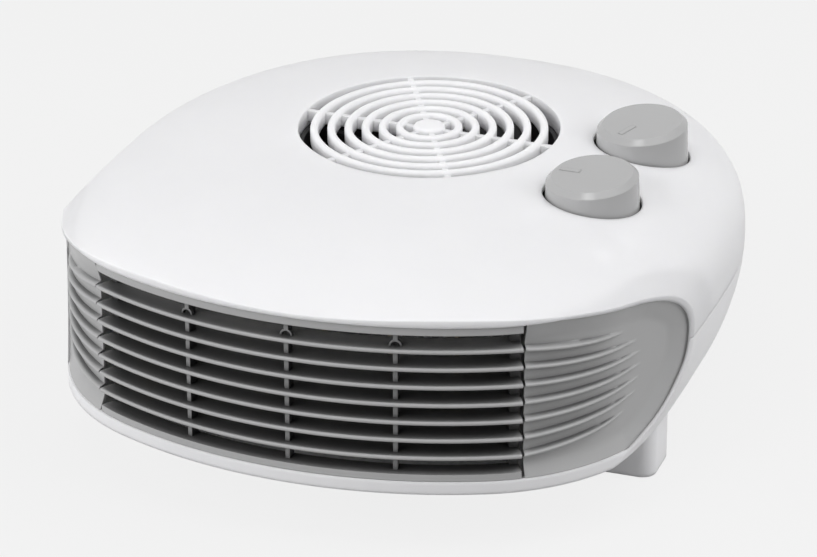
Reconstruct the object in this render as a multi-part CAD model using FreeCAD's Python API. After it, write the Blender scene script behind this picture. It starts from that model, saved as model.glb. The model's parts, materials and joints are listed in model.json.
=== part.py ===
import FreeCAD, Part
import math
import os

# Fan heater: a flat white pebble on four feet, blowing forward (-Y) through a grey curved grille.
# Millimetres, +Z up, origin on the floor under the middle of the outline.

V = FreeCAD.Vector
UP = V(0, 0, 1)

# Body outline seen from above: two half superellipses that share one width
body_half_width = 123.8
body_centre_y = -6.1
rear_reach = 140.0
rear_power = 2.22
front_reach = 153.9
front_power = 3.26

# Body profile seen from the side: a dome over a bowl
equator_z = 62.7
dome_rise = 39.1
dome_tilt = 0.022
dome_plan_power = 3.9
dome_rise_power = 2.92
bowl_drop = 108.7
bowl_plan_power = 1.67
bowl_drop_power = 1.83
rim_z = 24.5
crown_share = 0.3
parting_z = 61.0
parting_gap = 0.2

# Upright front wall: one wide arc, two corner arcs and two straight runs out of the body
front_y = -138.1
front_radius = 172.0
outlet_half_angle = 28.0
corner_start_angle = 23.8
corner_radius = 75.8
corner_end_angle = 67.0

# Shell walls and fits
shell_wall = 2.2
floor_wall = 2.6
edge_wall = 1.2
rebate_depth = 9.0
fit_gap = 0.2
lip_top_z = 29.2
lip_wall = 3.0
brow_z = 88.7
brow_wall = 3.0

# Outlet grille
insert_setback = 0.6
louvre_count = 7
louvre_top_z = 79.1
louvre_pitch = 6.835
louvre_depth = 11.5
louvre_nose = 1.7
louvre_tail = 1.2
bar_depth = 8.0
top_bar_z = 85.6
bottom_bar_z = 32.0
mullion_angles = (-13.85, -0.35, 12.98)
mullion_width = 1.7
mullion_setback = 3.4
mullion_depth = 4.0
flare_width = 4.6
flare_height = 2.6
flare_wall = 0.7
flare_depth = 1.4
cheek_angle = 1.2
cheek_setback = 7.0
cheek_depth = 4.5
louvre_end_gap = 0.05
seam_gap_angle = 0.1

# Ribbed wings beside the outlet
wing_wall = 2.4
rib_radius = 1.5
rib_proud = 1.1
rib_end_angle = 76.0
rib_end_step = 0.9
rib_fan_angle = 2.2
rib_level_index = 2.75

# Inlet grille on the crown
fan_y = 15.6
inlet_radius = 50.0
inlet_top_z = 102.2
inlet_depth = 6.0
inlet_seat_z = 94.5
collar_wall = 2.2
hub_radius = 6.1
ring_count = 6
ring_first_radius = 11.2
ring_pitch = 6.53
ring_width = 3.0
spoke_count = 6
spoke_width = 2.2
spoke_drop = 1.5
spoke_turn = -2.5

# Knobs, their shafts and what they turn
thermostat_inset = 43.5
thermostat_y = 29.1
thermostat_pointer = 245.0
thermostat_top_z = 108.9
selector_inset = 47.4
selector_y = -23.5
selector_pointer = 172.0
selector_top_z = 107.8
knob_base_radius = 17.9
knob_top_radius = 16.9
knob_chamfer = 2.0
knob_bottom_z = 87.0
knob_inner_top_z = 103.6
knob_slant = 6.7
knob_slant_towards = 239.0
knob_wall = 2.0
knob_hub_radius = 5.5
knob_hub_bottom_z = 92.0
knob_gap = 0.5
pointer_inner = 5.0
pointer_outer = 13.0
pointer_width = 2.2
pointer_raise = 0.3
control_shaft_radius = 3.0
control_shaft_bottom_z = 66.0
control_shaft_top_z = 103.0
shaft_gap = 0.05
neck_radius = 4.6
neck_height = 5.2
nut_across = 13.0
nut_height = 2.6
plate_z = 77.8
plate_wall = 1.4
plate_margin = 5.0
plate_post_inner_inset = 62.0
plate_post_outer_inset = 29.0
plate_post_front_y = -47.0
plate_post_rear_y = 53.0
thermostat_side = 31.0
thermostat_height = 18.0
selector_length = 34.0
selector_width = 29.0
selector_height = 20.0

# Screws and the posts they bite into
post_radius = 4.5
screw_radius = 1.6
screw_gap = 0.1
head_radius = 3.2
head_height = 2.0
plate_screw_length = 11.0
case_post_radius = 5.5
case_joint_z = 40.0
case_screw_seat_z = 31.0
case_screw_length = 20.0
case_front_inset = 32.0
case_front_y = -64.0
case_rear_inset = 84.0
case_rear_y = 101.0
case_recess_radius = 4.4

# Feet
foot_length = 30.0
foot_width = 24.4
foot_corner = 5.5
front_foot_inset = 29.5
front_foot_y = -37.5
rear_foot_inset = 66.0
rear_foot_y = 81.0
pad_inset = 3.5
pad_wall = 2.0
pad_stand = 1.0
foot_screw_length = 12.0

# Fan and motor, all on one upright axis
fan_radius = 46.0
fan_hub_radius = 11.0
fan_hub_bottom_z = 78.0
fan_hub_top_z = 92.0
blade_count = 7
blade_chord = 24.0
blade_wall = 1.6
blade_pitch = 30.0
blade_mid_z = 85.0
motor_shaft_radius = 2.0
motor_shaft_bottom_z = 37.0
motor_shaft_top_z = 91.0
bearing_gap = 0.03
bearing_radius = 4.0
rotor_radius = 12.2
air_gap = 0.4
stack_bottom_z = 48.0
stack_height = 16.0
stack_half_width = 24.0
pole_half_depth = 17.0
leg_width = 9.0
window_depth = 14.0
yoke_depth = 12.0
coil_half_length = 13.0
coil_build = 6.0
coil_gap = 0.1
bracket_wall = 1.5
bracket_half_depth = 8.0
pillar_radius = 3.5
pillar_x = 19.0
pillar_height = 4.5
bearing_boss_radius = 6.0
bearing_boss_length = 6.0
mount_wall = 1.5
mount_half_length = 50.0
mount_half_depth = 11.0
mount_post_x = 44.0
motor_nut_across = 6.0
motor_nut_height = 2.4

# Fan shroud
shroud_bore = 48.0
shroud_wall = 1.6
shroud_bottom_z = 76.0
shroud_flange_radius = 60.0
shroud_screw_radius_at = 56.0
shroud_screw_length = 5.0

# Air guide between fan and heating element
guide_wall = 1.2
guide_radius = 60.0
guide_top_z = 75.0
guide_bend_y = -45.0

# Heating element
element_half_width = 74.0
element_front_y = -101.0
element_depth = 20.0
element_bottom_z = 36.0
element_height = 46.0
element_wall = 1.0
board_count = 5
board_pitch = 25.0
board_wall = 1.0
board_margin = 1.0
ribbon_rows = 6
ribbon_row_pitch = 6.6
ribbon_height = 3.0
ribbon_wall = 0.5
ribbon_depth = 12.0
ribbon_folds = 56
ribbon_slot_gap = 0.4
busbar_wall = 1.8
busbar_width = 5.0
insulator_wall = 1.2
element_post_x = 60.0
cutout_x = 30.0
cutout_radius = 8.0
cutout_height = 5.0
cutout_flange_length = 26.0
cutout_flange_wall = 1.0
fuse_x = -30.0
fuse_radius = 2.2
fuse_length = 14.0

# Mains inlet
block_length = 40.0
block_width = 14.0
block_height = 12.0
block_y = 99.0
gland_z = 44.0
gland_bore_radius = 3.8
gland_body_radius = 6.5
gland_flange_radius = 9.0
gland_flange_wall = 1.6
gland_clip_radius = 7.6
gland_seat_gap = 0.4
gland_clip_wall = 1.8
gland_pad_radius = 10.5
gland_pad_depth = 12.0
gland_stand = 4.2

# Room around the body for cutting tools, and how finely its curves are drawn
sky = 40.0
far = 260.0
outline_points = 48
dome_steps = 9
bowl_steps = 5

# Values worked out from the sizes above
arc_centre_y = front_y + front_radius
floor_z = rim_z + floor_wall
tall = equator_z + dome_rise + sky
seam_turn = (outlet_half_angle + seam_gap_angle - corner_start_angle) * front_radius / corner_radius
thermostat_x = body_half_width - thermostat_inset
selector_x = body_half_width - selector_inset
plate_post_left_x = body_half_width - plate_post_inner_inset
plate_post_right_x = body_half_width - plate_post_outer_inset
case_front_x = body_half_width - case_front_inset
case_rear_x = body_half_width - case_rear_inset
front_foot_x = body_half_width - front_foot_inset
rear_foot_x = body_half_width - rear_foot_inset
gland_pad_outer_y = body_centre_y + rear_reach + gland_stand - gland_flange_wall
gland_pad_inner_y = gland_pad_outer_y - gland_pad_depth


def box(x0, x1, y0, y1, z0, z1):
    return Part.makeBox(x1 - x0, y1 - y0, z1 - z0, V(x0, y0, z0))


def rod(x, y, z0, z1, radius):
    return Part.makeCylinder(radius, z1 - z0, V(x, y, z0), UP)


def tube(x, y, z0, z1, bore, radius):
    return rod(x, y, z0, z1, radius).cut(rod(x, y, z0, z1, bore))


def hexagon(x, y, z0, height, across):
    corner = across / math.sqrt(3)
    turns = [math.radians(60 * step) for step in range(7)]
    points = [V(x + corner * math.cos(a), y + corner * math.sin(a), z0) for a in turns]
    return Part.Face(Part.makePolygon(points)).extrude(V(0, 0, height))


def prism(points, z0, z1):
    loop = [V(x, y, z0) for x, y in points]
    return Part.Face(Part.makePolygon(loop + [loop[0]])).extrude(V(0, 0, z1 - z0))


def fuse_all(shapes):
    return shapes[0].multiFuse(shapes[1:])


def mirrored(shape):
    return shape.mirror(V(0, 0, 0), V(1, 0, 0))


def body_outline(scale, inset, z, slope):
    half_width = (body_half_width - inset) * scale
    points = []
    for step in range(outline_points):
        angle = 2 * math.pi * step / outline_points - math.pi / 2
        side = abs(math.cos(angle)) / half_width
        if math.sin(angle) > 0:
            power = rear_power
            reach = (rear_reach - inset) * scale
        else:
            power = front_power
            reach = (front_reach - inset) * scale
        along = abs(math.sin(angle)) / reach
        radius = (side ** power + along ** power) ** (-1 / power)
        back = radius * math.sin(angle)
        points.append(V(radius * math.cos(angle), body_centre_y + back, z + slope * back))
    curve = Part.BSplineCurve()
    curve.interpolate(points, True)
    return Part.Wire([curve.toShape()])


def body(inset, bottom_z):
    """The whole pebble, shrunk by inset on every side, from bottom_z to a crown that tips forward."""
    sections = []
    drop = bowl_drop - inset
    lowest = ((equator_z - bottom_z) / drop) ** (bowl_drop_power / 2)
    lowest_angle = math.asin(lowest)
    for step in range(bowl_steps, 0, -1):
        angle = lowest_angle * step / bowl_steps
        scale = math.cos(angle) ** (2 / bowl_plan_power)
        z = equator_z - drop * math.sin(angle) ** (2 / bowl_drop_power)
        sections.append(body_outline(scale, inset, z, 0))
    rise = dome_rise - inset
    crown_angle = math.acos(crown_share ** (dome_plan_power / 2))
    for step in range(dome_steps + 1):
        angle = crown_angle * step / dome_steps
        scale = math.cos(angle) ** (2 / dome_plan_power)
        share = math.sin(angle) ** (2 / dome_rise_power)
        sections.append(body_outline(scale, inset, equator_z + rise * share, dome_tilt * share))
    return Part.makeLoft(sections, True, False)


def on_arc(centre_x, centre_y, radius, degrees):
    angle = math.radians(degrees)
    return V(centre_x + radius * math.sin(angle), centre_y - radius * math.cos(angle), 0)


corner_centre = on_arc(0, arc_centre_y, front_radius - corner_radius, corner_start_angle)


def behind_front(inset):
    """Everything behind the upright front wall, with the wall moved back by inset."""
    wide = front_radius - inset
    tight = corner_radius - inset
    start = on_arc(0, arc_centre_y, wide, corner_start_angle)
    middle_angle = (corner_start_angle + corner_end_angle) / 2
    middle = on_arc(corner_centre.x, corner_centre.y, tight, middle_angle)
    end = on_arc(corner_centre.x, corner_centre.y, tight, corner_end_angle)
    heading = math.radians(corner_end_angle)
    out = end + V(math.cos(heading), math.sin(heading), 0) * (far / 2)
    back = V(out.x, far, 0)
    flip = [V(-p.x, p.y, 0) for p in (start, middle, end, out, back)]
    edges = [
        Part.Arc(flip[0], V(0, arc_centre_y - wide, 0), start).toShape(),
        Part.Arc(start, middle, end).toShape(),
        Part.LineSegment(end, out).toShape(),
        Part.LineSegment(out, back).toShape(),
        Part.LineSegment(back, flip[4]).toShape(),
        Part.LineSegment(flip[4], flip[3]).toShape(),
        Part.LineSegment(flip[3], flip[2]).toShape(),
        Part.Arc(flip[2], flip[1], flip[0]).toShape(),
    ]
    return Part.Face(Part.Wire(edges)).extrude(V(0, 0, tall))


def front_layer(near, deep):
    return behind_front(near).cut(behind_front(deep))


def outlet_wedge(half_angle):
    right = on_arc(0, arc_centre_y, far, half_angle)
    left = on_arc(0, arc_centre_y, far, -half_angle)
    return prism([(0, arc_centre_y), (left.x, left.y), (right.x, right.y)], 0, tall)


def swept_ring(profile, half_angle):
    """Turns a radius-height profile about the front arc's centre line."""
    ring = Part.Face(profile).revolve(V(0, 0, 0), UP, 2 * half_angle)
    ring.rotate(V(0, 0, 0), UP, -90 - half_angle)
    ring.translate(V(0, arc_centre_y, 0))
    return ring


def turned(profile, x, y):
    shape = Part.Face(profile).revolve(V(0, 0, 0), UP, 360)
    shape.translate(V(x, y, 0))
    return shape


def rounded_slab(x, y, length, width, corner, z0, z1):
    slab = box(x - length / 2, x + length / 2, y - width / 2, y + width / 2, z0, z1)
    uprights = [e for e in slab.Edges if abs(e.Vertexes[0].Z - e.Vertexes[1].Z) > 0.5 * (z1 - z0)]
    return slab.makeFillet(corner, uprights)


# Shared forms of the body
skin_outside = body(0, rim_z)
skin_inside = body(shell_wall, floor_z)
under_brow = box(-far, far, -far, far, 0, brow_z)
insert_space = body(edge_wall, lip_top_z).common(under_brow)
under_gap = box(-far, far, -far, far, 0, brow_z - fit_gap)
insert_limit = body(edge_wall + fit_gap, lip_top_z + fit_gap).common(under_gap)
buried = body(shell_wall / 2, rim_z + 0.5)
front_side = behind_front(0)
rebate = insert_space.cut(behind_front(rebate_depth))
skin = skin_outside.cut(skin_inside).common(front_side)
above = box(-far, far, -far, far, parting_z + parting_gap / 2, tall)
below = box(-far, far, -far, far, 0, parting_z - parting_gap / 2)

plate_posts = [
    (x, y)
    for x in (plate_post_left_x, plate_post_right_x)
    for y in (plate_post_front_y, plate_post_rear_y)
]
case_posts = [
    (side * x, y)
    for side in (-1, 1)
    for x, y in ((case_front_x, case_front_y), (case_rear_x, case_rear_y))
]
shroud_posts = []
for degrees in (90, 210, 330):
    turn = math.radians(degrees)
    post_x = shroud_screw_radius_at * math.cos(turn)
    post_y = fan_y + shroud_screw_radius_at * math.sin(turn)
    shroud_posts.append((post_x, post_y))
feet = [
    (side * x, y)
    for side in (-1, 1)
    for x, y in ((front_foot_x, front_foot_y), (rear_foot_x, rear_foot_y))
]
knobs = [(thermostat_x, thermostat_y), (selector_x, selector_y)]
inlet_bottom_z = inlet_top_z - inlet_depth
inlet_tilt = math.degrees(math.atan(dome_tilt))
plate_top_z = plate_z + plate_wall
mount_z = stack_bottom_z - pillar_height - bracket_wall - mount_wall
element_y = element_front_y + element_depth / 2
element_top_z = element_bottom_z + element_height


def inlet_grille():
    pieces = []
    for index in range(ring_count):
        middle = ring_first_radius + index * ring_pitch
        inner = middle - ring_width / 2
        outer = middle + ring_width / 2
        shoulder = inlet_top_z - ring_width / 2
        edges = [
            Part.LineSegment(V(inner, 0, shoulder), V(inner, 0, inlet_bottom_z)).toShape(),
            Part.LineSegment(V(inner, 0, inlet_bottom_z), V(outer, 0, inlet_bottom_z)).toShape(),
            Part.LineSegment(V(outer, 0, inlet_bottom_z), V(outer, 0, shoulder)).toShape(),
            Part.Arc(V(outer, 0, shoulder), V(middle, 0, inlet_top_z), V(inner, 0, shoulder)).toShape(),
        ]
        pieces.append(turned(Part.Wire(edges), 0, fan_y))
    hub = rod(0, fan_y, inlet_bottom_z, inlet_top_z, hub_radius)
    top_edges = [e for e in hub.Edges if e.Closed and e.BoundBox.ZMin > inlet_top_z - 0.01]
    pieces.append(hub.makeFillet(spoke_drop, top_edges))
    spoke_top = inlet_top_z - spoke_drop
    for index in range(spoke_count):
        spoke = box(0, inlet_radius + 1, -spoke_width / 2, spoke_width / 2, inlet_bottom_z, spoke_top)
        spoke.rotate(V(0, 0, 0), UP, 360 / spoke_count * index + spoke_turn)
        spoke.translate(V(0, fan_y, 0))
        pieces.append(spoke)
    for piece in pieces:
        piece.rotate(V(0, fan_y, inlet_top_z), V(1, 0, 0), inlet_tilt)
    return pieces


def upper_shell():
    pieces = [skin.common(above).cut(rebate)]
    brow = buried.common(front_layer(0, brow_wall))
    pieces.append(brow.common(box(-far, far, -far, far, brow_z, tall)))
    collar = rod(0, fan_y, inlet_seat_z, tall, inlet_radius + collar_wall).common(buried)
    pieces.append(collar)
    for x, y in plate_posts:
        pieces.append(rod(x, y, plate_top_z, tall, post_radius).common(buried))
    for x, y in case_posts:
        pieces.append(rod(x, y, case_joint_z, tall, post_radius).common(buried))
    for x, y in shroud_posts:
        pieces.append(rod(x, y, inlet_seat_z, tall, post_radius).common(buried))
    shell = fuse_all(pieces)
    cuts = [rod(0, fan_y, 0, tall, inlet_radius)]
    for x, y in knobs:
        cuts.append(rod(x, y, knob_bottom_z, tall, knob_base_radius + knob_gap))
    pilot = screw_radius + screw_gap
    for x, y in plate_posts:
        cuts.append(rod(x, y, plate_z, plate_z + plate_screw_length + 1, pilot))
    for x, y in case_posts:
        cuts.append(rod(x, y, case_joint_z, case_screw_seat_z + case_screw_length + 1, pilot))
    for x, y in shroud_posts:
        cuts.append(rod(x, y, 0, inlet_seat_z - shroud_wall + shroud_screw_length + 0.4, pilot))
    shell = shell.cut(Part.makeCompound(cuts))
    return fuse_all([shell] + inlet_grille())


def lower_shell():
    pieces = [skin.common(below).cut(rebate)]
    lip = skin_outside.common(front_layer(0, lip_wall))
    pieces.append(lip.common(box(-far, far, -far, far, 0, lip_top_z)))
    for x, y in case_posts:
        post = rod(x, y, rim_z, case_joint_z, case_post_radius)
        pieces.append(post.common(skin_outside))
    for side in (-1, 1):
        pieces.append(rod(side * mount_post_x, fan_y, rim_z, mount_z, post_radius))
        pieces.append(rod(side * element_post_x, element_y, rim_z, element_bottom_z, post_radius))
    pad_length = gland_pad_outer_y - gland_pad_inner_y
    pad_start = V(0, gland_pad_inner_y, gland_z)
    pieces.append(Part.makeCylinder(gland_pad_radius, pad_length, pad_start, V(0, 1, 0)))
    shell = fuse_all(pieces)
    hole = gland_body_radius + screw_gap
    cuts = [Part.makeCylinder(hole, far, V(0, gland_pad_inner_y - 20, gland_z), V(0, 1, 0))]
    seat_radius = gland_flange_radius + gland_seat_gap
    cuts.append(Part.makeCylinder(seat_radius, far, V(0, gland_pad_outer_y, gland_z), V(0, 1, 0)))
    pilot = screw_radius + screw_gap
    for x, y in case_posts:
        cuts.append(rod(x, y, 0, case_screw_seat_z, case_recess_radius))
        cuts.append(rod(x, y, 0, case_joint_z, pilot))
    for x, y in feet:
        cuts.append(rod(x, y, 0, floor_z + 1, pilot))
    for side in (-1, 1):
        cuts.append(rod(side * mount_post_x, fan_y, floor_z, mount_z, pilot))
        cuts.append(rod(side * element_post_x, element_y, floor_z, element_bottom_z, pilot))
    return shell.cut(Part.makeCompound(cuts))


def front_insert(near, deep):
    return insert_limit.common(front_layer(near, deep))


def louvre(z):
    front = front_radius - insert_setback
    back = front - louvre_depth
    half_nose = louvre_nose / 2
    half_tail = louvre_tail / 2
    corners = [
        V(front - half_nose, 0, z + half_nose),
        V(back, 0, z + half_tail),
        V(back, 0, z - half_tail),
        V(front - half_nose, 0, z - half_nose),
    ]
    edges = [Part.LineSegment(a, b).toShape() for a, b in zip(corners, corners[1:])]
    edges.append(Part.Arc(corners[3], V(front, 0, z), corners[0]).toShape())
    return swept_ring(Part.Wire(edges), outlet_half_angle - louvre_end_gap)


def arch(near, base, half_width, height):
    foot_left = V(-half_width, near, base)
    foot_right = V(half_width, near, base)
    crown = Part.Arc(foot_right, V(0, near, base + height), foot_left).toShape()
    outline = Part.Wire([Part.LineSegment(foot_left, foot_right).toShape(), crown])
    return Part.Face(outline).extrude(V(0, flare_depth, 0))


def front_grille():
    face = front_radius - insert_setback
    bars = front_insert(insert_setback, insert_setback + bar_depth)
    bars = bars.common(outlet_wedge(outlet_half_angle - louvre_end_gap))
    top_bar = bars.common(box(-far, far, -far, far, top_bar_z, tall))
    bottom_bar = bars.common(box(-far, far, -far, far, 0, bottom_bar_z))
    pieces = [top_bar, bottom_bar]
    for index in range(louvre_count):
        pieces.append(louvre(louvre_top_z - index * louvre_pitch))
    upright_foot = bottom_bar_z - 1
    upright_head = top_bar_z + 0.6
    for degrees in mullion_angles:
        near = -face + mullion_setback
        half = mullion_width / 2
        upright = box(-half, half, near, near + mullion_depth, upright_foot, upright_head)
        base = louvre_top_z + louvre_nose / 2 - 0.3
        flare = arch(near, base, flare_width / 2, flare_height)
        opening = arch(near, base, flare_width / 2 - flare_wall, flare_height - flare_wall)
        post = upright.fuse(flare).cut(opening)
        post.rotate(V(0, 0, 0), UP, degrees)
        post.translate(V(0, arc_centre_y, 0))
        pieces.append(post)
    cheek = swept_ring(
        Part.makePolygon([
            V(face - cheek_setback, 0, upright_foot),
            V(face - cheek_setback - cheek_depth, 0, upright_foot),
            V(face - cheek_setback - cheek_depth, 0, upright_head),
            V(face - cheek_setback, 0, upright_head),
            V(face - cheek_setback, 0, upright_foot),
        ]),
        cheek_angle / 2,
    )
    for side in (-1, 1):
        placed = cheek.copy()
        turn = side * (outlet_half_angle - louvre_end_gap - cheek_angle / 2)
        placed.rotate(V(0, arc_centre_y, 0), UP, turn)
        pieces.append(placed)
    return fuse_all(pieces)


def wing_rib(index):
    """Half-round rib along the corner; the ribs draw together and sink into the wing at their ends."""
    middle = (louvre_count - 1) / 2
    end_angle = rib_end_angle - rib_end_step * (index - middle) ** 2
    start_angle = corner_start_angle + seam_turn
    surface = corner_radius - insert_setback
    shift = rib_proud / (1 - math.cos(math.radians(end_angle - start_angle)))
    path_radius = surface + rib_proud - rib_radius - shift
    z = louvre_top_z - index * louvre_pitch
    centre = on_arc(corner_centre.x, corner_centre.y, shift, start_angle)
    section = Part.Wire([Part.makeCircle(rib_radius, V(path_radius, 0, z), V(0, 1, 0))])
    sweep = end_angle - start_angle + 8
    rib = Part.Face(section).revolve(V(0, 0, 0), UP, sweep)
    rib.rotate(V(0, 0, 0), UP, start_angle - 4 - 90)
    rib.translate(V(centre.x, centre.y, 0))
    root = on_arc(corner_centre.x, corner_centre.y, surface, start_angle)
    outward = on_arc(0, 0, 1, start_angle)
    rib.rotate(root + V(0, 0, z), outward, (index - rib_level_index) * rib_fan_angle)
    return rib


def right_wing():
    right_half = box(0, far, -far, far, 0, tall)
    beside = right_half.cut(outlet_wedge(outlet_half_angle + seam_gap_angle))
    sheet = front_insert(insert_setback, insert_setback + wing_wall).common(beside)
    ribs = [wing_rib(index).common(beside) for index in range(louvre_count)]
    return fuse_all([sheet] + ribs)


def slanted(shape, x, y, top_z):
    """Lays a shape drawn on the flat onto the slanting top of the knob at x, y."""
    towards = math.radians(knob_slant_towards)
    shape.rotate(V(0, 0, 0), V(-math.sin(towards), math.cos(towards), 0), knob_slant)
    shape.translate(V(x, y, top_z))
    return shape


def knob(x, y, top_z, pointer):
    above_top = top_z + knob_base_radius / 2
    draft = (knob_base_radius - knob_top_radius) / (top_z - knob_bottom_z)
    outline = [
        V(control_shaft_radius, 0, knob_hub_bottom_z),
        V(knob_hub_radius, 0, knob_hub_bottom_z),
        V(knob_hub_radius, 0, knob_inner_top_z),
        V(knob_top_radius - knob_wall, 0, knob_inner_top_z),
        V(knob_base_radius - knob_wall, 0, knob_bottom_z),
        V(knob_base_radius, 0, knob_bottom_z),
        V(knob_base_radius - draft * (above_top - knob_bottom_z), 0, above_top),
        V(0, 0, above_top),
        V(0, 0, control_shaft_top_z),
        V(control_shaft_radius, 0, control_shaft_top_z),
        V(control_shaft_radius, 0, knob_hub_bottom_z),
    ]
    cap = turned(Part.makePolygon(outline), x, y)
    cap = cap.cut(slanted(box(-far, far, -far, far, 0, far), x, y, top_z))
    top_face = max(cap.Faces, key=lambda face: face.CenterOfMass.z)
    cap = cap.makeChamfer(knob_chamfer, top_face.Edges)
    half = pointer_width / 2
    mark = box(pointer_inner, pointer_outer, -half, half, -0.5, pointer_raise)
    mark.rotate(V(0, 0, 0), UP, pointer)
    return cap.fuse(slanted(mark, x, y, top_z)).removeSplitter()


def control_shaft(x, y):
    return rod(x, y, control_shaft_bottom_z, control_shaft_top_z, control_shaft_radius)


def control_body(x, y, length, width, height):
    case = rounded_slab(x, y, length, width, 2.0, plate_z - height, plate_z)
    neck = rod(x, y, plate_z - 1, plate_top_z + neck_height, neck_radius)
    bore = control_shaft_radius + shaft_gap
    hole = rod(x, y, control_shaft_bottom_z - 0.2, tall, bore)
    return case.fuse(neck).removeSplitter().cut(hole)


def control_nut(x, y):
    nut = hexagon(x, y, plate_top_z, nut_height, nut_across)
    return nut.cut(rod(x, y, 0, tall, neck_radius + screw_gap))


def control_bracket():
    plate = box(
        plate_post_left_x - plate_margin,
        plate_post_right_x + plate_margin,
        plate_post_front_y - plate_margin,
        plate_post_rear_y + plate_margin,
        plate_z,
        plate_top_z,
    )
    cuts = [rod(x, y, 0, tall, neck_radius + screw_gap) for x, y in knobs]
    cuts += [rod(x, y, 0, tall, screw_radius + screw_gap) for x, y in plate_posts]
    return plate.cut(Part.makeCompound(cuts))


def screw(x, y, seat_z, length, head_below=False):
    """Pan-head screw; its head rests on seat_z and its shank reaches length past it."""
    if head_below:
        head = rod(x, y, seat_z - head_height, seat_z, head_radius)
        shank = rod(x, y, seat_z - 0.5, seat_z + length, screw_radius)
    else:
        head = rod(x, y, seat_z, seat_z + head_height, head_radius)
        shank = rod(x, y, seat_z - length, seat_z + 0.5, screw_radius)
    return head.fuse(shank).removeSplitter()


def foot(x, y):
    block = rounded_slab(x, y, foot_length, foot_width, foot_corner, pad_stand, equator_z)
    block = block.cut(skin_outside)
    inner_length = foot_length - 2 * pad_inset
    inner_width = foot_width - 2 * pad_inset
    pocket = rounded_slab(x, y, inner_length, inner_width, foot_corner - pad_inset, 0, pad_wall)
    hole = rod(x, y, floor_z - foot_screw_length - 1, tall, screw_radius + screw_gap)
    return block.cut(pocket).cut(hole)


def foot_pad(x, y):
    length = foot_length - 2 * pad_inset - 2 * screw_gap
    width = foot_width - 2 * pad_inset - 2 * screw_gap
    return rounded_slab(x, y, length, width, foot_corner - pad_inset, 0, pad_wall)


def fan():
    hub = tube(0, fan_y, fan_hub_bottom_z, fan_hub_top_z, motor_shaft_radius, fan_hub_radius)
    pieces = [hub]
    reach = rod(0, 0, fan_hub_bottom_z, fan_hub_top_z, fan_radius)
    reach = reach.cut(rod(0, 0, fan_hub_bottom_z, fan_hub_top_z, fan_hub_radius - 2))
    half_chord = blade_chord / 2
    half_wall = blade_wall / 2
    for index in range(blade_count):
        blade = box(0, fan_radius + 5, -half_chord, half_chord, -half_wall, half_wall)
        blade.rotate(V(0, 0, 0), V(1, 0, 0), blade_pitch)
        blade.translate(V(0, 0, blade_mid_z))
        blade.rotate(V(0, 0, 0), UP, 360 / blade_count * index)
        blade = blade.common(reach)
        blade.translate(V(0, fan_y, 0))
        pieces.append(blade)
    return fuse_all(pieces)


def motor_shaft():
    return rod(0, fan_y, motor_shaft_bottom_z, motor_shaft_top_z, motor_shaft_radius)


def motor_rotor():
    low = stack_bottom_z - 1
    high = stack_bottom_z + stack_height + 1
    return tube(0, fan_y, low, high, motor_shaft_radius, rotor_radius)


def motor_stator():
    low = stack_bottom_z
    high = stack_bottom_z + stack_height
    yoke_front = fan_y + pole_half_depth + window_depth
    half = stack_half_width
    stack = box(-half, half, fan_y - pole_half_depth, yoke_front + yoke_depth, low, high)
    inside = stack_half_width - leg_width
    window = box(-inside, inside, fan_y + pole_half_depth, yoke_front, low, high)
    cuts = [window, rod(0, fan_y, low, high, rotor_radius + air_gap)]
    cuts += [rod(side * pillar_x, fan_y, low, high, screw_radius + screw_gap) for side in (-1, 1)]
    return stack.cut(Part.makeCompound(cuts))


def motor_coil():
    yoke_front = fan_y + pole_half_depth + window_depth
    yoke_back = yoke_front + yoke_depth
    low = stack_bottom_z
    high = stack_bottom_z + stack_height
    winding = box(
        -coil_half_length, coil_half_length,
        yoke_front - coil_build, yoke_back + coil_build,
        low - coil_build, high + coil_build,
    )
    long_edges = [e for e in winding.Edges if e.BoundBox.XLength > coil_half_length]
    winding = winding.makeFillet(coil_build / 2, long_edges)
    core = box(-far, far, yoke_front - coil_gap, yoke_back + coil_gap, low - coil_gap, high + coil_gap)
    return winding.cut(core)


def bearing_bracket(stack_face_z, outward):
    """Strip across the motor that holds one bearing; outward is +1 above the motor, -1 below."""
    strip_near = stack_face_z + outward * pillar_height
    strip_far = strip_near + outward * bracket_wall
    boss_far = strip_far + outward * bearing_boss_length
    strip = box(
        -stack_half_width, stack_half_width,
        fan_y - bracket_half_depth, fan_y + bracket_half_depth,
        min(strip_near, strip_far), max(strip_near, strip_far),
    )
    boss = rod(0, fan_y, min(strip_near, boss_far), max(strip_near, boss_far), bearing_boss_radius)
    pieces = [strip, boss]
    for side in (-1, 1):
        foot_z = min(stack_face_z, strip_near)
        pieces.append(rod(side * pillar_x, fan_y, foot_z, foot_z + pillar_height, pillar_radius))
    bracket = fuse_all(pieces)
    cuts = [rod(0, fan_y, 0, tall, bearing_radius)]
    cuts += [rod(side * pillar_x, fan_y, 0, tall, screw_radius + screw_gap) for side in (-1, 1)]
    return bracket.cut(Part.makeCompound(cuts))


def motor_bearings():
    top_face = stack_bottom_z + stack_height + pillar_height
    low_face = stack_bottom_z - pillar_height
    length = bracket_wall + bearing_boss_length
    bore = motor_shaft_radius + bearing_gap
    upper = tube(0, fan_y, top_face, top_face + length, bore, bearing_radius)
    lower = tube(0, fan_y, low_face - length, low_face, bore, bearing_radius)
    return Part.makeCompound([upper, lower])


def motor_mount():
    plate = box(
        -mount_half_length, mount_half_length,
        fan_y - mount_half_depth, fan_y + mount_half_depth,
        mount_z, mount_z + mount_wall,
    )
    cuts = [rod(0, fan_y, 0, tall, bearing_boss_radius + 1)]
    for side in (-1, 1):
        cuts.append(rod(side * pillar_x, fan_y, 0, tall, screw_radius + screw_gap))
        cuts.append(rod(side * mount_post_x, fan_y, 0, tall, screw_radius + screw_gap))
    return plate.cut(Part.makeCompound(cuts))


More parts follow.
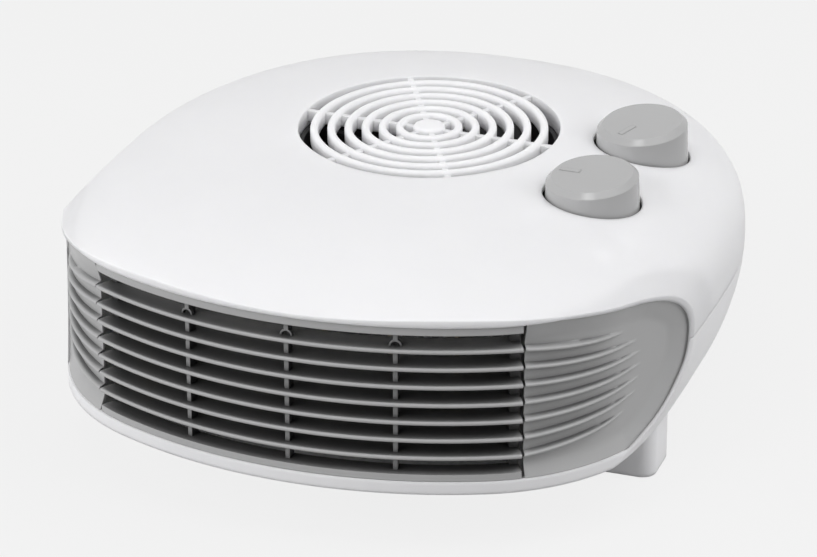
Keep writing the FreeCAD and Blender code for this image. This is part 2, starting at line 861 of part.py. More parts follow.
def motor_screws():
    seat = stack_bottom_z + stack_height + pillar_height + bracket_wall
    length = seat - mount_z + motor_nut_height
    return Part.makeCompound([screw(side * pillar_x, fan_y, seat, length) for side in (-1, 1)])


def motor_nuts():
    nuts = []
    for side in (-1, 1):
        x = side * pillar_x
        nut = hexagon(x, fan_y, mount_z - motor_nut_height, motor_nut_height, motor_nut_across)
        nuts.append(nut.cut(rod(x, fan_y, 0, tall, screw_radius + screw_gap)))
    return Part.makeCompound(nuts)


def fan_shroud():
    outer = shroud_bore + shroud_wall
    wall = tube(0, fan_y, shroud_bottom_z, inlet_seat_z, shroud_bore, outer)
    flange_z = inlet_seat_z - shroud_wall
    flange = tube(0, fan_y, flange_z, inlet_seat_z, shroud_bore, shroud_flange_radius)
    cuts = [rod(x, y, 0, tall, screw_radius + screw_gap) for x, y in shroud_posts]
    return fuse_all([wall, flange]).cut(Part.makeCompound(cuts))


def guide_outline(offset):
    side = guide_radius + offset
    mouth = element_half_width + offset
    element_back = element_front_y + element_depth
    return [
        Part.LineSegment(V(mouth, element_back, 0), V(side, guide_bend_y, 0)).toShape(),
        Part.LineSegment(V(side, guide_bend_y, 0), V(side, fan_y, 0)).toShape(),
        Part.Arc(V(side, fan_y, 0), V(0, fan_y + side, 0), V(-side, fan_y, 0)).toShape(),
        Part.LineSegment(V(-side, fan_y, 0), V(-side, guide_bend_y, 0)).toShape(),
        Part.LineSegment(V(-side, guide_bend_y, 0), V(-mouth, element_back, 0)).toShape(),
        Part.LineSegment(V(-mouth, element_back, 0), V(mouth, element_back, 0)).toShape(),
    ]


def air_guide():
    height = V(0, 0, guide_top_z - floor_z)
    outside = Part.Face(Part.Wire(guide_outline(0))).extrude(height)
    inside = Part.Face(Part.Wire(guide_outline(-guide_wall))).extrude(height)
    wall = outside.cut(inside)
    wall.translate(V(0, 0, floor_z))
    return wall


def element_frame():
    back_y = element_front_y + element_depth
    half = element_half_width
    frame = box(-half, half, element_front_y, back_y, element_bottom_z, element_top_z)
    inner_half = half - element_wall
    opening = box(
        -inner_half, inner_half, element_front_y, back_y,
        element_bottom_z + element_wall, element_top_z - element_wall,
    )
    cuts = [opening]
    for side in (-1, 1):
        cuts.append(rod(side * element_post_x, element_y, 0, element_bottom_z + 2, screw_radius + screw_gap))
    return frame.cut(Part.makeCompound(cuts))


def ribbon_levels():
    middle = (element_bottom_z + element_top_z) / 2
    first = middle - (ribbon_rows - 1) * ribbon_row_pitch / 2
    return [first + index * ribbon_row_pitch for index in range(ribbon_rows)]


def mica_boards():
    boards = []
    gap = ribbon_slot_gap
    for index in range(board_count):
        x = (index - (board_count - 1) / 2) * board_pitch
        board = box(
            x - board_wall / 2, x + board_wall / 2,
            element_front_y + board_margin, element_front_y + element_depth - board_margin,
            element_bottom_z + element_wall, element_top_z - element_wall,
        )
        slots = []
        for z in ribbon_levels():
            half_height = ribbon_height / 2 + gap
            half_depth = ribbon_depth / 2 + gap
            near = element_y - half_depth
            back = element_y + half_depth
            slots.append(box(-far, far, near, back, z - half_height, z + half_height))
        boards.append(board.cut(Part.makeCompound(slots)))
    return Part.makeCompound(boards)


def heating_ribbons():
    half_span = element_half_width - element_wall - insulator_wall - busbar_wall
    step = 2 * half_span / ribbon_folds
    swing = ribbon_depth / 2 - ribbon_wall
    front_edge = []
    back_edge = []
    for index in range(ribbon_folds + 1):
        x = -half_span + index * step
        y = element_y
        if 0 < index < ribbon_folds:
            y += swing if index % 2 else -swing
        lean = ribbon_wall * math.hypot(step, 2 * swing) / step
        front_edge.append((x, y - lean / 2))
        back_edge.append((x, y + lean / 2))
    outline = front_edge + back_edge[::-1]
    ribbons = []
    for z in ribbon_levels():
        ribbons.append(prism(outline, z - ribbon_height / 2, z + ribbon_height / 2))
    return Part.makeCompound(ribbons)


def busbar_spans():
    """Side and row span of each bar: one common bar, and one bar for each heat setting."""
    levels = ribbon_levels()
    half = ribbon_rows // 2
    reach = ribbon_height / 2 + 1
    return [
        (-1, levels[0] - reach, levels[-1] + reach),
        (1, levels[0] - reach, levels[half - 1] + reach),
        (1, levels[half] - reach, levels[-1] + reach),
    ]


def upright_bars(outer_x, wall):
    bars = []
    for side, low, high in busbar_spans():
        edge = sorted((side * outer_x, side * (outer_x - wall)))
        near = element_y - busbar_width / 2
        bars.append(box(edge[0], edge[1], near, near + busbar_width, low, high))
    return Part.makeCompound(bars)


def thermal_cutout():
    flange_width = 2 * cutout_radius
    flange = rounded_slab(
        cutout_x, element_y, cutout_flange_length, flange_width, 3.0,
        element_top_z, element_top_z + cutout_flange_wall,
    )
    can = rod(cutout_x, element_y, element_top_z, element_top_z + cutout_height, cutout_radius)
    return flange.fuse(can).removeSplitter()


def thermal_fuse():
    start = V(fuse_x - fuse_length / 2, element_y, element_top_z + fuse_radius)
    return Part.makeCylinder(fuse_radius, fuse_length, start, V(1, 0, 0))


def terminal_block():
    half = block_length / 2
    near = block_y - block_width / 2
    top = floor_z + block_height
    block = box(-half, half, near, near + block_width, floor_z, top)
    wells = []
    for index in (-1, 0, 1):
        wells.append(rod(index * block_length / 3.4, block_y, top - 4, tall, head_radius))
    return block.cut(Part.makeCompound(wells))


def cord_gland():
    along = V(0, 1, 0)

    def disc(y0, y1, radius):
        return Part.makeCylinder(radius, y1 - y0, V(0, y0, gland_z), along)

    inner_y = gland_pad_inner_y - gland_clip_wall
    outer_y = gland_pad_outer_y + gland_flange_wall
    pieces = [
        disc(inner_y, outer_y, gland_body_radius),
        disc(gland_pad_outer_y, outer_y, gland_flange_radius),
        disc(inner_y, gland_pad_inner_y, gland_clip_radius),
    ]
    return fuse_all(pieces).cut(disc(inner_y, outer_y, gland_bore_radius))


wing = right_wing()
busbar_x = element_half_width - element_wall - insulator_wall
parts = {
    "upper_shell": upper_shell(),
    "lower_shell": lower_shell(),
    "front_grille": front_grille(),
    "right_wing": wing,
    "left_wing": mirrored(wing),
    "thermostat_knob": knob(thermostat_x, thermostat_y, thermostat_top_z, thermostat_pointer),
    "selector_knob": knob(selector_x, selector_y, selector_top_z, selector_pointer),
    "thermostat_shaft": control_shaft(thermostat_x, thermostat_y),
    "selector_shaft": control_shaft(selector_x, selector_y),
    "thermostat_body": control_body(
        thermostat_x, thermostat_y, thermostat_side, thermostat_side, thermostat_height),
    "selector_switch": control_body(
        selector_x, selector_y, selector_width, selector_length, selector_height),
    "control_nuts": Part.makeCompound([control_nut(x, y) for x, y in knobs]),
    "control_bracket": control_bracket(),
    "bracket_screws": Part.makeCompound(
        [screw(x, y, plate_z, plate_screw_length, True) for x, y in plate_posts]),
    "case_screws": Part.makeCompound(
        [screw(x, y, case_screw_seat_z, case_screw_length, True) for x, y in case_posts]),
    "foot_screws": Part.makeCompound([screw(x, y, floor_z, foot_screw_length) for x, y in feet]),
    "foot_pads": Part.makeCompound([foot_pad(x, y) for x, y in feet]),
    "front_left_foot": foot(-front_foot_x, front_foot_y),
    "front_right_foot": foot(front_foot_x, front_foot_y),
    "rear_left_foot": foot(-rear_foot_x, rear_foot_y),
    "rear_right_foot": foot(rear_foot_x, rear_foot_y),
    "fan": fan(),
    "motor_shaft": motor_shaft(),
    "motor_rotor": motor_rotor(),
    "motor_stator": motor_stator(),
    "motor_coil": motor_coil(),
    "upper_bearing_bracket": bearing_bracket(stack_bottom_z + stack_height, 1),
    "lower_bearing_bracket": bearing_bracket(stack_bottom_z, -1),
    "motor_bearings": motor_bearings(),
    "motor_mount": motor_mount(),
    "motor_screws": motor_screws(),
    "motor_nuts": motor_nuts(),
    "mount_screws": Part.makeCompound(
        [screw(side * mount_post_x, fan_y, mount_z + mount_wall, plate_screw_length) for side in (-1, 1)]),
    "fan_shroud": fan_shroud(),
    "shroud_screws": Part.makeCompound(
        [screw(x, y, inlet_seat_z - shroud_wall, shroud_screw_length, True) for x, y in shroud_posts]),
    "air_guide": air_guide(),
    "element_frame": element_frame(),
    "element_screws": Part.makeCompound(
        [screw(side * element_post_x, element_y, element_bottom_z + element_wall, 8.0) for side in (-1, 1)]),
    "mica_boards": mica_boards(),
    "heating_ribbons": heating_ribbons(),
    "element_busbars": upright_bars(busbar_x, busbar_wall),
    "busbar_insulators": upright_bars(busbar_x + insulator_wall, insulator_wall),
    "thermal_cutout": thermal_cutout(),
    "thermal_fuse": thermal_fuse(),
    "terminal_block": terminal_block(),
    "cord_gland": cord_gland(),
}

os.makedirs("parts", exist_ok=True)
for name, shape in parts.items():
    if shape.isNull() or not shape.isValid():
        raise ValueError(name + " is not a valid shape")
    shape.exportStep("parts/" + name + ".step")
    print(name, len(shape.Solids), round(shape.Volume / 1000, 2))
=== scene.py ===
import bmesh
import bpy
import json
import math
import numpy as np
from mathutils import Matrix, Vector


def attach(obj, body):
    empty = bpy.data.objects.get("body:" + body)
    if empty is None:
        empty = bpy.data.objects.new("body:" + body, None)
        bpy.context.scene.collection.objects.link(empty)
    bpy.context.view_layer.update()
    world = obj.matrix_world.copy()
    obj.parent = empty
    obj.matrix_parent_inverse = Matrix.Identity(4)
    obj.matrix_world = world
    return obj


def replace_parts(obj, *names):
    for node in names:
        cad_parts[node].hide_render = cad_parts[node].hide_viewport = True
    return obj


# Dressed fan heater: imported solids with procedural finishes, soft studio light, photograph's view.
# Metres, +Z up, in the same frame as the solids.

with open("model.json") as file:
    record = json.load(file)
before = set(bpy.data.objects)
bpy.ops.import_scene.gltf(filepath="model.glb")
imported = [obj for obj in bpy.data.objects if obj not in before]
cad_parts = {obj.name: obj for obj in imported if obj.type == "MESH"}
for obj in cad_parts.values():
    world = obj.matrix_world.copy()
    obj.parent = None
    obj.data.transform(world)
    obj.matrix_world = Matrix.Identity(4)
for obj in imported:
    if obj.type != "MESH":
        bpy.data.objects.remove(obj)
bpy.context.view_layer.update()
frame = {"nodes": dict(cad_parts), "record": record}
nodes = frame["nodes"]


# Finishes
noise_low, noise_high = 0.3, 0.7
edge_samples = 6
# Painted shade in hollows: occlusion samples and the ramp that darkens the colour where walls close
# in
hollow_shade_samples = 8
hollow_shade_stops = [(0.12, (0.02, 0.02, 0.02)), (0.45, (0.25, 0.25, 0.25)), (0.8, (1.0, 1.0, 1.0))]
plastic_ior = 1.5


class Finish:
    """A procedural material that is built up layer by layer in object coordinates."""

    def __init__(self, name):
        self.material = bpy.data.materials.new(name)
        self.material.use_nodes = True
        self.tree = self.material.node_tree
        self.shader = self.tree.nodes["Principled BSDF"]
        self.coords = self.add("ShaderNodeTexCoord").outputs["Object"]
        self.normal = None

    def add(self, kind):
        return self.tree.nodes.new(kind)

    def link(self, source, target):
        self.tree.links.new(source, target)

    def set(self, **values):
        """Constants on the shader's own sockets, with _ for the spaces in their names."""
        for name, value in values.items():
            self.shader.inputs[name.replace("_", " ")].default_value = value

    def stretched(self, stretch):
        mapping = self.add("ShaderNodeMapping")
        mapping.inputs["Scale"].default_value = stretch
        self.link(self.coords, mapping.inputs["Vector"])
        return mapping.outputs["Vector"]

    def noise(self, scale, detail, stretch=None):
        texture = self.add("ShaderNodeTexNoise")
        texture.inputs["Scale"].default_value = scale
        texture.inputs["Detail"].default_value = detail
        source = self.stretched(stretch) if stretch else self.coords
        self.link(source, texture.inputs["Vector"])
        return texture.outputs["Fac"]

    def cells(self, scale):
        texture = self.add("ShaderNodeTexVoronoi")
        texture.inputs["Scale"].default_value = scale
        self.link(self.coords, texture.inputs["Vector"])
        return texture.outputs["Distance"]

    def layers(self, scale, wobble):
        """Bands stacked along Z."""
        texture = self.add("ShaderNodeTexWave")
        texture.wave_type = "BANDS"
        texture.bands_direction = "Z"
        texture.inputs["Scale"].default_value = scale
        texture.inputs["Distortion"].default_value = wobble
        self.link(self.coords, texture.inputs["Vector"])
        return texture.outputs["Fac"]

    def ramp(self, value, stops):
        ramp = self.add("ShaderNodeValToRGB")
        elements = ramp.color_ramp.elements
        while len(elements) < len(stops):
            elements.new(0.5)
        for element, (place, colour) in zip(elements, stops):
            element.position = place
            element.color = (*colour, 1.0)
        self.link(value, ramp.inputs["Fac"])
        return ramp.outputs["Color"]

    def colour(self, value, stops):
        self.link(self.ramp(value, stops), self.shader.inputs["Base Color"])

    def clouds(self, value, dark, pale):
        """Colour that drifts between two tones with a noise."""
        self.colour(value, [(noise_low, dark), (noise_high, pale)])

    def rough(self, value, low, high):
        span = self.add("ShaderNodeMapRange")
        span.inputs["From Min"].default_value = noise_low
        span.inputs["From Max"].default_value = noise_high
        span.inputs["To Min"].default_value = low
        span.inputs["To Max"].default_value = high
        self.link(value, span.inputs["Value"])
        self.link(span.outputs["Result"], self.shader.inputs["Roughness"])

    def painted_hollow_shade(self, reach):
        """Painted shade: darkens the base colour where the piece's own walls close in within the
        reach.
        """
        hollow = self.add("ShaderNodeAmbientOcclusion")
        hollow.samples = hollow_shade_samples
        hollow.only_local = True
        hollow.inputs["Distance"].default_value = reach
        depth = self.ramp(hollow.outputs["AO"], hollow_shade_stops)
        shade = self.add("ShaderNodeMix")
        shade.data_type = "RGBA"
        shade.blend_type = "MULTIPLY"
        shade.inputs["Factor"].default_value = 1.0
        self.link(self.shader.inputs["Base Color"].links[0].from_socket, shade.inputs["A"])
        self.link(depth, shade.inputs["B"])
        self.link(shade.outputs["Result"], self.shader.inputs["Base Color"])

    def soft_edges(self, radius):
        bevel = self.add("ShaderNodeBevel")
        bevel.samples = edge_samples
        bevel.inputs["Radius"].default_value = radius
        self.normal = bevel.outputs["Normal"]
        self.link(self.normal, self.shader.inputs["Normal"])

    def bump(self, height, depth, strength):
        bump = self.add("ShaderNodeBump")
        bump.inputs["Strength"].default_value = strength
        bump.inputs["Distance"].default_value = depth
        self.link(height, bump.inputs["Height"])
        if self.normal:
            self.link(self.normal, bump.inputs["Normal"])
        self.normal = bump.outputs["Normal"]
        self.link(self.normal, self.shader.inputs["Normal"])


def moulded(name, dark, pale, low, high, grain, edge):
    """Injection-moulded plastic: faint flow clouds, satin grain and slightly rounded arrises."""
    finish = Finish(name)
    finish.clouds(finish.noise(scale=14.0, detail=4.0), dark, pale)
    finish.rough(finish.noise(scale=90.0, detail=4.0), low, high)
    finish.soft_edges(edge)
    finish.bump(finish.noise(scale=2600.0, detail=2.0), depth=grain, strength=0.35)
    return finish


def white_plastic(name, edge, glow):
    finish = moulded(
        name, dark=(0.835, 0.834, 0.85), pale=(0.86, 0.858, 0.872),
        low=0.4, high=0.48, grain=0.00002, edge=edge)
    finish.set(IOR=plastic_ior, Coat_Weight=0.05, Coat_Roughness=0.3)
    finish.set(Subsurface_Weight=glow, Subsurface_Scale=0.006, Subsurface_Radius=(1.0, 1.0, 0.95))
    return finish.material


def grey_plastic(name, edge, painted_shade_reach=None, low=0.36, high=0.46):
    finish = moulded(
        name, dark=(0.385, 0.385, 0.387), pale=(0.415, 0.415, 0.417),
        low=low, high=high, grain=0.00003, edge=edge)
    # Painted shade: the colour darkens in the piece's own hollows within the reach
    if painted_shade_reach:
        finish.painted_hollow_shade(painted_shade_reach)
    finish.set(IOR=plastic_ior)
    return finish.material


def black_plastic():
    finish = moulded(
        "black_pbt", dark=(0.012, 0.012, 0.013), pale=(0.022, 0.022, 0.023),
        low=0.45, high=0.6, grain=0.00004, edge=0.0004)
    return finish.material


def rolled_steel():
    finish = Finish("zinc_steel")
    spangle = finish.cells(scale=420.0)
    finish.colour(spangle, [(0.1, (0.42, 0.43, 0.44)), (0.8, (0.56, 0.56, 0.57))])
    finish.rough(finish.noise(scale=260.0, detail=5.0), low=0.28, high=0.5)
    finish.soft_edges(radius=0.0003)
    rolling = finish.noise(scale=900.0, detail=3.0, stretch=(1.0, 1.0, 8.0))
    finish.bump(rolling, depth=0.00003, strength=0.4)
    finish.set(Metallic=1.0)
    return finish.material


def laminations():
    finish = Finish("core_laminations")
    sheets = finish.layers(scale=620.0, wobble=0.4)
    finish.colour(sheets, [(0.2, (0.08, 0.08, 0.085)), (0.8, (0.24, 0.24, 0.25))])
    finish.rough(finish.noise(scale=300.0, detail=4.0), low=0.4, high=0.6)
    finish.bump(sheets, depth=0.00012, strength=0.7)
    finish.set(Metallic=0.9)
    return finish.material


def copper_winding():
    finish = Finish("enamelled_copper")
    turns = finish.layers(scale=900.0, wobble=0.8)
    finish.colour(turns, [(0.1, (0.2, 0.05, 0.018)), (0.8, (0.72, 0.27, 0.12))])
    finish.rough(finish.noise(scale=200.0, detail=3.0), low=0.22, high=0.36)
    finish.bump(turns, depth=0.0002, strength=0.8)
    finish.set(Metallic=0.9, Coat_Weight=0.4, Coat_Roughness=0.15)
    return finish.material


def brass():
    finish = Finish("turned_brass")
    tarnish = finish.noise(scale=120.0, detail=5.0)
    finish.clouds(tarnish, dark=(0.55, 0.36, 0.13), pale=(0.72, 0.5, 0.2))
    finish.rough(finish.noise(scale=350.0, detail=4.0), low=0.22, high=0.4)
    finish.soft_edges(radius=0.0003)
    finish.bump(finish.layers(scale=1500.0, wobble=0.5), depth=0.00002, strength=0.4)
    finish.set(Metallic=1.0)
    return finish.material


def mica():
    finish = Finish("mica_board")
    flakes = [(0.05, (0.3, 0.24, 0.15)), (0.5, (0.5, 0.42, 0.29)), (0.9, (0.62, 0.55, 0.4))]
    finish.colour(finish.cells(scale=520.0), flakes)
    finish.rough(finish.noise(scale=180.0, detail=5.0), low=0.25, high=0.6)
    finish.bump(finish.cells(scale=900.0), depth=0.00006, strength=0.5)
    return finish.material


def steatite():
    finish = Finish("steatite")
    speckle = finish.noise(scale=160.0, detail=6.0)
    finish.clouds(speckle, dark=(0.7, 0.66, 0.56), pale=(0.82, 0.79, 0.7))
    finish.rough(finish.noise(scale=400.0, detail=4.0), low=0.5, high=0.7)
    finish.bump(finish.noise(scale=1800.0, detail=4.0), depth=0.00005, strength=0.5)
    return finish.material


def rubber():
    finish = Finish("foot_rubber")
    bloom = finish.noise(scale=200.0, detail=4.0)
    finish.clouds(bloom, dark=(0.035, 0.035, 0.037), pale=(0.06, 0.06, 0.062))
    finish.rough(finish.noise(scale=500.0, detail=4.0), low=0.7, high=0.9)
    finish.soft_edges(radius=0.0005)
    finish.bump(finish.noise(scale=1500.0, detail=4.0), depth=0.00008, strength=0.6)
    return finish.material


finishes = {
    "white_plastic": white_plastic("white_abs", edge=0.0018, glow=0.3),
    # Grey pieces get painted shade in their hollows
    "grey_plastic": grey_plastic("grey_abs", edge=0.0005, painted_shade_reach=0.018),
    "black_plastic": black_plastic(),
    "steel": rolled_steel(),
    "core_steel": laminations(),
    "copper": copper_winding(),
    "brass": brass(),
    "mica": mica(),
    "steatite": steatite(),
    "rubber": rubber(),
}
for subpart in frame["record"]["subparts"]:
    piece = nodes[subpart["node"]]
    piece.data.materials.clear()
    piece.data.materials.append(finishes[subpart["material_slot"]])

# Pieces whose edges or gloss differ from the rest of their slot
crisp_white = white_plastic("white_abs_crisp", edge=0.0008, glow=0.7)
# The wings get painted shade in the hollows beside their ribs, within a shorter reach
ribbed_grey = grey_plastic("grey_abs_ribbed", edge=0.0002, painted_shade_reach=0.008)
polished_grey = grey_plastic("grey_abs_polished", edge=0.0006, low=0.2, high=0.26)
nodes["upper_shell"].data.materials[0] = crisp_white
for name in ("thermostat_knob", "selector_knob"):
    nodes[name].data.materials[0] = polished_grey


# Wings beside the outlet: a dished panel with tapering ribs
# Millimetres until the mesh is made, in the frame's own x, y and z

# The front's wide arc and the tighter corner that the wing follows
arc_centre = np.array([0.0, 33.9])
arc_radius = 172.0
corner_from = math.radians(23.8)
corner_to = math.radians(67.0)
corner_radius = 75.8
wing_setback = 0.6
seam_angle = math.radians(28.16)
seam_gap = 0.6

# The body's outline and its upper and lower halves, which end the wing
body_half_width = 123.8
body_middle_y = -6.1
body_inset = 1.4
front_reach, front_power = 153.9, 3.26
rear_reach, rear_power = 140.0, 2.22
equator = 62.7
dome_rise, dome_tilt, dome_plan_power, dome_rise_power = 39.1, 0.022, 3.9, 2.92
bowl_drop, bowl_plan_power, bowl_drop_power = 108.7, 1.67, 1.83

# The wing's panel
wing_bottom = 29.4
wing_top = 88.5
wing_back = -3.2
shortest_wing, longest_wing, length_halvings = 40.0, 120.0, 50
length_kept = 0.9998
panel_depth = 2.3
upper_border, upper_border_gain = 7.0, 2.5
lower_border, lower_border_gain = 6.0, 3.5
border_gain_from = 0.7
panel_corner, panel_corner_width = 0.85, 0.3
seam_wall, seam_wall_slope = 0.5, 0.5

# The ribs, counted from the top
rib_top, rib_pitch = 79.1, 6.835
rib_ends = (43.5, 51.5, 54.0, 54.0, 53.0, 51.5, 45.0)
rib_height = 2.5
rib_half_width, rib_end_share = 1.1, 0.5
rib_taper_power = 3
rib_level = 60.3
rib_gather, rib_gather_run, rib_gather_end = 0.26, 50.0, 55.0
rib_tip, rib_tip_run = 0.5, 3.0

# The mesh
columns_along = 140
rows_near_rib, near_rib = 8, 0.22
rows_between, between_from, between_to = 4, 0.32, 0.68
points_at_once = 4000
least_step = 1e-9
weld_gap = 1e-7
crease = math.radians(55)
metres = 0.001

face_radius = corner_radius - wing_setback
inward = arc_radius - corner_radius
corner_centre = arc_centre + inward * np.array([math.sin(corner_from), -math.cos(corner_from)])
seam_way = np.array([math.sin(seam_angle), -math.cos(seam_angle)])
to_arc = arc_centre - corner_centre
to_seam = to_arc @ seam_way
seam_run = -to_seam + math.sqrt(to_seam ** 2 - to_arc @ to_arc + face_radius ** 2)
seam_point = to_arc + seam_run * seam_way
seam_turn = math.atan2(seam_point[0], -seam_point[1])
arc_run = (corner_to - seam_turn) * face_radius


def wing_path(run):
    """Points and outward normals at distances from the seam, round the corner and straight on."""
    turn = seam_turn + np.minimum(run, arc_run) / face_radius
    normal = np.stack([np.sin(turn), -np.cos(turn)], axis=-1)
    along = np.stack([np.cos(turn), np.sin(turn)], axis=-1)
    beyond = np.maximum(run - arc_run, 0.0)[..., None]
    return corner_centre + face_radius * normal + beyond * along, normal


def plan_share(points):
    """0 on the body's middle line, 1 on its outline."""
    back = points[..., 1] - body_middle_y
    power = np.where(back < 0, front_power, rear_power)
    reach = np.where(back < 0, front_reach, rear_reach) - body_inset
    side = np.abs(points[..., 0]) / (body_half_width - body_inset)
    return (side ** power + (np.abs(back) / reach) ** power) ** (1 / power)


def wing_heights(run):
    """Top and bottom edge of the wing at distances from the seam."""
    points, _ = wing_path(run)
    share = np.minimum(plan_share(points), 1.0)
    rise = dome_rise - body_inset + dome_tilt * (points[..., 1] - body_middle_y)
    top = equator + rise * (1 - share ** dome_plan_power) ** (1 / dome_rise_power)
    drop = (bowl_drop - body_inset) * (1 - share ** bowl_plan_power) ** (1 / bowl_drop_power)
    return np.minimum(top, wing_top), np.maximum(equator - drop, wing_bottom)


def wing_length():
    """Distance from the seam at which the wing meets the body's outline, found by halving."""
    low, high = shortest_wing, longest_wing
    for _ in range(length_halvings):
        middle = (low + high) / 2
        points, _ = wing_path(np.array(middle))
        if plan_share(points) < 1:
            low = middle
        else:
            high = middle
    return low


def edge_distance(run, height, edge, widths):
    """Distance of each point to the wing's edge, counted in widths of the border there."""
    start, step = edge[:-1], np.diff(edge, axis=0)
    length = np.maximum((step ** 2).sum(axis=1), least_step)
    points = np.stack([run.ravel(), height.ravel()], axis=1)
    result = np.empty(len(points))
    for first in range(0, len(points), points_at_once):
        batch = np.s_[first:first + points_at_once]
        offset = points[batch, None, :] - start
        share = np.clip((offset * step).sum(axis=2) / length, 0, 1)
        gap = np.linalg.norm(offset - share[..., None] * step, axis=2)
        result[batch] = gap.min(axis=1) / widths[gap.argmin(axis=1)]
    return result.reshape(run.shape)


def rib_lines(run, top, bottom):
    """Heights of the bottom edge, the ribs from the lowest up, and the top edge."""
    held_run = np.minimum(run, rib_gather_end)
    held_top, held_bottom = wing_heights(held_run)
    gather = 1 - rib_gather * held_run / rib_gather_run
    lines = [bottom]
    for index in reversed(range(len(rib_ends))):
        line = rib_level + (rib_top - index * rib_pitch - rib_level) * gather
        share = (line - held_bottom) / (held_top - held_bottom)
        lines.append(bottom + share * (top - bottom))
    return lines + [top]


def row_heights(lines):
    """Rows of the mesh, close together beside each line and wider between."""
    close = np.linspace(0, near_rib, rows_near_rib)
    wide = np.linspace(between_from, between_to, rows_between)
    steps = np.concatenate([close, wide, 1 - close[:0:-1]])
    rows = [low + (high - low) * step for low, high in zip(lines, lines[1:]) for step in steps]
    return np.array(rows + [lines[-1]])


def panel_depths(place, height, run, top, bottom, length):
    """Depth of the dished panel, which slopes in from the wing's edge and levels out."""
    upper, lower = np.stack([run, top], axis=1), np.stack([run, bottom], axis=1)
    edge = np.concatenate([upper, lower[::-1]])
    far = np.clip((edge[:-1, 0] / length - border_gain_from) / (1 - border_gain_from), 0, 1)
    above = edge[:-1, 1] > equator
    upper_width = upper_border + upper_border_gain * far
    lower_width = lower_border + lower_border_gain * far
    border = edge_distance(place, height, edge, np.where(above, upper_width, lower_width))
    corner = np.clip(border - panel_corner, 0, panel_corner_width)
    slope = np.minimum(border, panel_corner + panel_corner_width)
    return -panel_depth * (slope - corner ** 2 / (2 * panel_corner_width))


def wing_surface():
    """Front face of the right wing as grids of place along the wall, height and depth."""
    length = wing_length() * length_kept
    spread = np.sin(np.linspace(0, math.pi / 2, columns_along))
    run = seam_gap + (length - seam_gap) * spread
    top, bottom = wing_heights(run)
    lines = rib_lines(run, top, bottom)
    height = row_heights(lines)
    place = np.broadcast_to(run, height.shape).copy()
    depth = panel_depths(place, height, run, top, bottom, length)
    shift = np.zeros_like(place)
    for index, end in enumerate(rib_ends):
        line = lines[len(rib_ends) - index]
        taper = np.clip(1 - (run / end) ** rib_taper_power, 0, 1)
        width = rib_half_width * (rib_end_share + (1 - rib_end_share) * taper)
        across = np.clip(1 - ((height - line) / width) ** 2, 0, 1)
        depth += rib_height * taper * across ** 0.5
        shift += rib_tip * across * np.clip(1 - run / rib_tip_run, 0, 1) ** 2
    return place - shift, height, depth


def grid_mesh(layers, flip):
    """Points and faces of several grids that share no corners."""
    points, faces = [], []
    for layer in layers:
        rows, columns = layer.shape[:2]
        first = len(points)
        points.extend(map(tuple, layer.reshape(-1, 3)))
        for row in range(rows - 1):
            for column in range(columns - 1):
                a = first + row * columns + column
                face = (a, a + 1, a + columns + 1, a + columns)
                faces.append(face[::-1] if flip else face)
    return points, faces


def wing(name, side):
    """Closed mesh of one wing, thin at the seam; side is 1 at the right and -1 at the left."""
    place, height, depth = wing_surface()
    flat, normal = wing_path(place)
    inner = depth - seam_wall - seam_wall_slope * np.maximum(place, 0.0)
    inner = np.maximum(wing_back, inner)
    front = np.concatenate([flat + normal * depth[..., None], height[..., None]], axis=2)
    back = np.concatenate([flat + normal * inner[..., None], height[..., None]], axis=2)
    layers = [front, back[:, ::-1]]
    for edge in (np.s_[:, 0], np.s_[::-1, -1], np.s_[-1, :], np.s_[0, ::-1]):
        layers.append(np.stack([back[edge], front[edge]], axis=1))
    layers = [layer * np.array([side, 1.0, 1.0]) * metres for layer in layers]
    points, faces = grid_mesh(layers, side < 0)
    mesh = bpy.data.meshes.new(name)
    mesh.from_pydata(points, [], faces)
    joined = bmesh.new()
    joined.from_mesh(mesh)
    bmesh.ops.remove_doubles(joined, verts=joined.verts, dist=weld_gap)
    joined.to_mesh(mesh)
    joined.free()
    mesh.polygons.foreach_set("use_smooth", [True] * len(mesh.polygons))
    mesh.set_sharp_from_angle(angle=crease)
    mesh.materials.append(ribbed_grey)
    piece = bpy.data.objects.new(name, mesh)
    bpy.context.scene.collection.objects.link(piece)
    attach(piece, "heater")
    return piece


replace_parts(wing("right_wing_face", 1.0), "right_wing")
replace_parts(wing("left_wing_face", -1.0), "left_wing")


# Studio
white = (1.0, 1.0, 1.0, 1.0)
backdrop_level = 0.888
fill_level = 0.05
paper_level, paper_share = 0.965, 0.86
floor_half = 15.0
floor_drop = 0.0001


def seen_rays(tree):
    """1 for rays that show the background: straight from the camera, mirrored or through glass."""
    rays = tree.nodes.new("ShaderNodeLightPath")
    total = rays.outputs["Is Camera Ray"]
    for kind in ("Is Glossy Ray", "Is Transmission Ray"):
        either = tree.nodes.new("ShaderNodeMath")
        either.operation = "MAXIMUM"
        tree.links.new(total, either.inputs[0])
        tree.links.new(rays.outputs[kind], either.inputs[1])
        total = either.outputs["Value"]
    return total


def pale_floor():
    """Paper that mostly glows evenly where it is seen, and still takes the object's shadow."""
    finish = Finish("studio_floor")
    tree = finish.tree
    clouds = finish.noise(scale=3.0, detail=2.0)
    finish.clouds(clouds, dark=(0.4, 0.4, 0.4), pale=(0.42, 0.42, 0.42))
    finish.set(Roughness=0.9)
    paper = finish.add("ShaderNodeEmission")
    paper.inputs["Color"].default_value = white
    paper.inputs["Strength"].default_value = paper_level
    share = finish.add("ShaderNodeMath")
    share.operation = "MULTIPLY"
    share.inputs[1].default_value = paper_share
    finish.link(seen_rays(tree), share.inputs[0])
    blend = finish.add("ShaderNodeMixShader")
    finish.link(share.outputs["Value"], blend.inputs["Fac"])
    finish.link(finish.shader.outputs["BSDF"], blend.inputs[1])
    finish.link(paper.outputs["Emission"], blend.inputs[2])
    finish.link(blend.outputs["Shader"], tree.nodes["Material Output"].inputs["Surface"])
    return finish.material


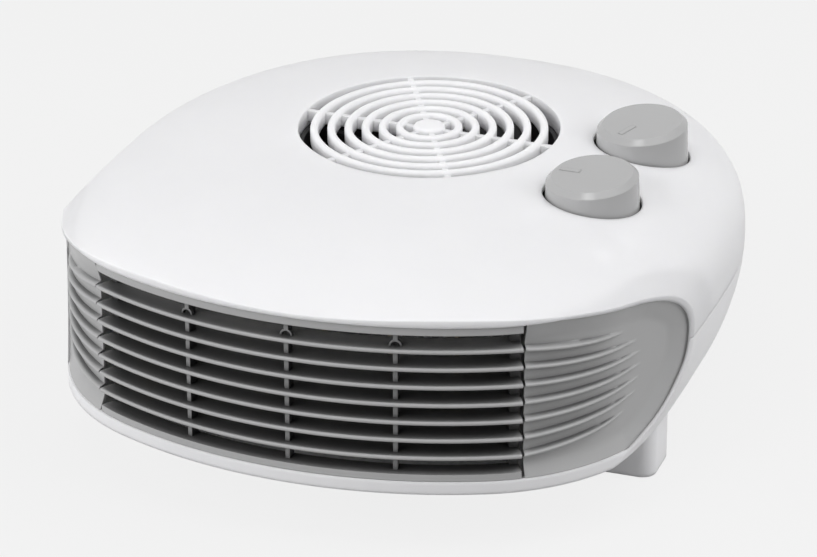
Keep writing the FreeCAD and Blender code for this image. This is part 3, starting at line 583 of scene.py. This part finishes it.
floor_mesh = bpy.data.meshes.new("studio_floor")
corner_signs = ((-1, -1), (1, -1), (1, 1), (-1, 1))
floor_corners = [(x * floor_half, y * floor_half, 0) for x, y in corner_signs]
floor_mesh.from_pydata(floor_corners, [], [(0, 1, 2, 3)])
floor_mesh.materials.append(pale_floor())
floor = bpy.data.objects.new("studio_floor", floor_mesh)
floor.location.z = -floor_drop
bpy.context.scene.collection.objects.link(floor)

world = bpy.data.worlds.new("studio")
bpy.context.scene.world = world
world.use_nodes = True
sky = world.node_tree
fill = sky.nodes["Background"]
fill.inputs["Color"].default_value = white
fill.inputs["Strength"].default_value = fill_level
seen = sky.nodes.new("ShaderNodeBackground")
seen.inputs["Color"].default_value = white
seen.inputs["Strength"].default_value = backdrop_level
sky_blend = sky.nodes.new("ShaderNodeMixShader")
sky.links.new(seen_rays(sky), sky_blend.inputs["Fac"])
sky.links.new(fill.outputs["Background"], sky_blend.inputs[1])
sky.links.new(seen.outputs["Background"], sky_blend.inputs[2])
sky.links.new(sky_blend.outputs["Shader"], sky.nodes["World Output"].inputs["Surface"])


def softbox(name, place, aim, size, power, mirrored=True):
    """Area lamp aimed at a height over the origin; one that isn't mirrored gives no highlights."""
    lamp = bpy.data.lights.new(name, "AREA")
    lamp.shape = "RECTANGLE"
    lamp.size, lamp.size_y = size
    lamp.energy = power
    holder = bpy.data.objects.new(name, lamp)
    holder.location = place
    holder.visible_glossy = mirrored
    beam = Vector((0, 0, aim)) - Vector(place)
    holder.rotation_euler = beam.to_track_quat("-Z", "Y").to_euler()
    bpy.context.scene.collection.objects.link(holder)


# The side lamps would clip the white top in low views if they were mirrored in it
softbox("softbox_top", (0.2, 0.05, 1.7), aim=0.05, size=(1.8, 1.8), power=10.0)
softbox("softbox_left", (-1.4, -0.95, 0.7), aim=0.06, size=(1.5, 1.2), power=20.6, mirrored=False)
softbox("softbox_right", (1.25, 0.05, 1.1), aim=0.06, size=(1.6, 1.6), power=19.6, mirrored=False)
softbox("softbox_front", (-0.4, -1.1, 0.8), aim=0.08, size=(0.5, 0.5), power=3.2)
softbox("softbox_high", (-0.05, -0.66, 1.4), aim=0.08, size=(0.4, 0.3), power=2.1)

# Camera solved from the photograph
camera_place = (0.4078, -1.1728, 0.6063)
camera_down, camera_turn = math.radians(24.350), math.radians(19.299)

view = bpy.data.cameras.new("photograph_view")
view.sensor_fit = "HORIZONTAL"
view.sensor_width = 36.0
view.lens = 156.56
view.clip_start = 0.05
view.clip_end = 50.0
camera = bpy.data.objects.new("photograph_view", view)
camera.location = camera_place
camera.rotation_euler = (math.pi / 2 - camera_down, 0.0, camera_turn)
bpy.context.scene.collection.objects.link(camera)
bpy.context.scene.camera = camera
bpy.context.scene.view_settings.view_transform = "Standard"

bpy.context.view_layer.update()
